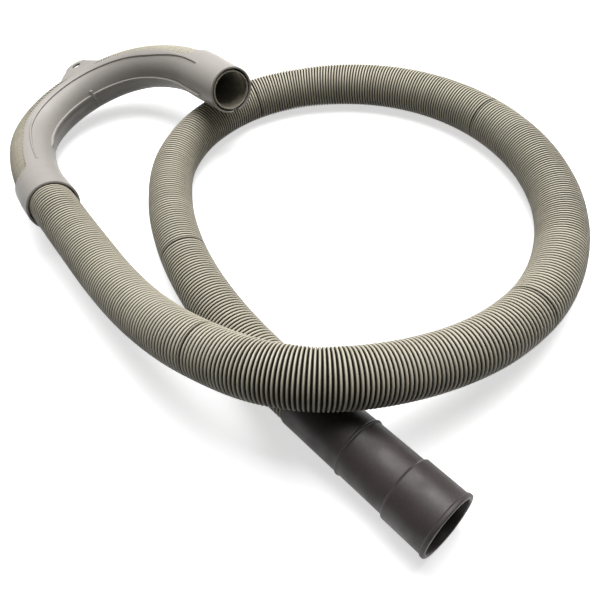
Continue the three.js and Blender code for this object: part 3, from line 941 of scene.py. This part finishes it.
class Look:
    """A material and short ways to add nodes to it and join them."""

    def __init__(self, name, roughness, specular):
        self.material = bpy.data.materials.new(name)
        self.material.use_nodes = True
        self.tree = self.material.node_tree
        self.shader = self.tree.nodes["Principled BSDF"]
        self.set("Roughness", roughness)
        self.set("Specular IOR Level", specular)
        self.coordinates = self.node("ShaderNodeTexCoord").outputs["Object"]

    def put(self, socket, value):
        if isinstance(value, bpy.types.NodeSocket):
            self.tree.links.new(value, socket)
        else:
            socket.default_value = value

    def set(self, name, value):
        """Puts a value or another node's output into a socket of the shader."""
        self.put(self.shader.inputs[name], value)

    def node(self, kind, **settings):
        node = self.tree.nodes.new(kind)
        for name, value in settings.items():
            setattr(node, name, value)
        return node

    def noise(self, scale, detail=NOISE_DETAIL):
        node = self.node("ShaderNodeTexNoise")
        self.put(node.inputs["Vector"], self.coordinates)
        self.put(node.inputs["Scale"], scale)
        self.put(node.inputs["Detail"], detail)
        return node.outputs["Fac"]

    def attribute(self, name):
        return self.node("ShaderNodeAttribute", attribute_name=name).outputs["Fac"]

    def spread(self, value, low, high, from_low=0.0, from_high=1.0):
        node = self.node("ShaderNodeMapRange")
        self.put(node.inputs["Value"], value)
        self.put(node.inputs["From Min"], from_low)
        self.put(node.inputs["From Max"], from_high)
        self.put(node.inputs["To Min"], low)
        self.put(node.inputs["To Max"], high)
        return node.outputs["Result"]

    def varied(self, scale, low, high):
        """A value that wanders from low to high over the surface."""
        return self.spread(self.noise(scale), low, high, *NOISE_MIDDLE)

    def combined(self, operation, first, second):
        node = self.node("ShaderNodeMath", operation=operation)
        self.put(node.inputs[0], first)
        self.put(node.inputs[1], second)
        return node.outputs[0]

    def ramp(self, value, stops):
        node = self.node("ShaderNodeValToRGB")
        elements = node.color_ramp.elements
        for element, (place, color) in zip(elements, (stops[0], stops[-1])):
            element.position = place
            element.color = (*color, 1)
        for place, color in stops[1:-1]:
            elements.new(place).color = (*color, 1)
        self.put(node.inputs["Fac"], value)
        return node.outputs["Color"]

    def scaled(self, color, factor):
        node = self.node("ShaderNodeVectorMath", operation="SCALE")
        self.put(node.inputs[0], color)
        self.put(node.inputs["Scale"], factor)
        return node.outputs["Vector"]

    def bump(self, scale, distance, strength):
        node = self.node("ShaderNodeBump")
        self.put(node.inputs["Height"], self.noise(scale, BUMP_DETAIL))
        self.put(node.inputs["Distance"], distance)
        self.put(node.inputs["Strength"], strength)
        self.set("Normal", node.outputs["Normal"])


def hose_material():
    """Pale crests with painted shade in the grooves and the bore, and each rib a tone of its own."""
    look = Look("hose_plastic", roughness=0.5, specular=0.4)
    # The ramp by crest paints shade into the grooves and the bore.
    color = look.ramp(look.attribute("crest"), HOSE_COLOUR_AND_PAINTED_SHADE_STOPS)
    broad = look.varied(scale=14.0, low=0.93, high=1.07)
    rib = look.spread(look.attribute("tone"), low=0.93, high=1.05)
    grain = look.varied(scale=900.0, low=0.95, high=1.05)
    factor = look.combined("MULTIPLY", look.combined("MULTIPLY", broad, rib), grain)
    look.set("Base Color", look.scaled(color, factor))
    look.set("Roughness", look.varied(scale=60.0, low=0.42, high=0.6))
    look.bump(scale=1400.0, distance=0.0001, strength=0.5)
    return look.material


def hook_material():
    """Satin grey plastic with a fine grain."""
    look = Look("hook_plastic", roughness=0.42, specular=0.45)
    color = look.ramp(look.noise(scale=9.0), HOOK_STOPS)
    grain = look.varied(scale=700.0, low=0.96, high=1.04)
    look.set("Base Color", look.scaled(color, grain))
    look.set("Roughness", look.varied(scale=45.0, low=0.38, high=0.52))
    look.bump(scale=1100.0, distance=0.00008, strength=0.35)
    return look.material


def cuff_material():
    """Dull dark rubber."""
    look = Look("cuff_rubber", roughness=0.5, specular=0.45)
    color = look.ramp(look.noise(scale=25.0), CUFF_STOPS)
    grain = look.varied(scale=800.0, low=0.9, high=1.1)
    look.set("Base Color", look.scaled(color, grain))
    look.set("Roughness", look.varied(scale=80.0, low=0.4, high=0.6))
    look.bump(scale=1200.0, distance=0.0001, strength=0.4)
    return look.material


def floor_material():
    """White where the camera sees it, and dull where it would light the object from below."""
    look = Look("floor_white", roughness=0.9, specular=0.0)
    path = look.node("ShaderNodeLightPath")
    seen = look.combined("MAXIMUM", path.outputs["Is Camera Ray"], path.outputs["Is Glossy Ray"])
    seen = look.combined("MAXIMUM", seen, path.outputs["Is Transmission Ray"])
    look.set("Base Color", look.ramp(seen, FLOOR_STOPS))
    look.set("Emission Color", (1, 1, 1, 1))
    look.set("Emission Strength", look.spread(seen, low=0.0, high=FLOOR_GLOW))
    return look.material


def add_floor():
    bpy.ops.mesh.primitive_plane_add(size=FLOOR_SIZE, location=(0, 0, 0))
    floor = bpy.context.object
    floor.name = "floor"
    floor.data.materials.append(floor_material())


def add_lights():
    """One large soft lamp overhead, and a weak even light from all sides."""
    world = bpy.data.worlds.new("studio")
    world.use_nodes = True
    background = world.node_tree.nodes["Background"]
    background.inputs["Color"].default_value = (1, 1, 1, 1)
    background.inputs["Strength"].default_value = WORLD_LIGHT
    bpy.context.scene.world = world
    lamp = bpy.data.objects.new("overhead", bpy.data.lights.new("overhead", "AREA"))
    lamp.data.size = OVERHEAD_SIZE
    lamp.data.energy = OVERHEAD_POWER
    lamp.location = OVERHEAD_PLACE
    lamp.rotation_euler = (OVERHEAD_TARGET - OVERHEAD_PLACE).to_track_quat("-Z", "Y").to_euler()
    bpy.context.scene.collection.objects.link(lamp)


add_camera()
line = hose_line()
hose = make_hose(line)
cuff = make_cuff()
hook = make_hook_shell()
tab = make_tab()
hose.data.materials.append(hose_material())
hook.data.materials.append(hook_material())
cuff.data.materials.append(cuff_material())
tab.data.materials.append(hook.data.materials[0])
for piece, node, slot in (
    (hose, "drain_hose", "hose_plastic"),
    (hook, "hose_hook", "hook_plastic"),
    (tab, "hose_hook", "hook_plastic"),
    (cuff, "pump_cuff", "cuff_rubber"),
):
    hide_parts(node)
    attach(piece, "root")
path = line.at(np.linspace(0, line.length, DECLARED_PATH_POINTS))[0]
add_floor()
add_lights()
bpy.context.scene.view_settings.view_transform = "Standard"
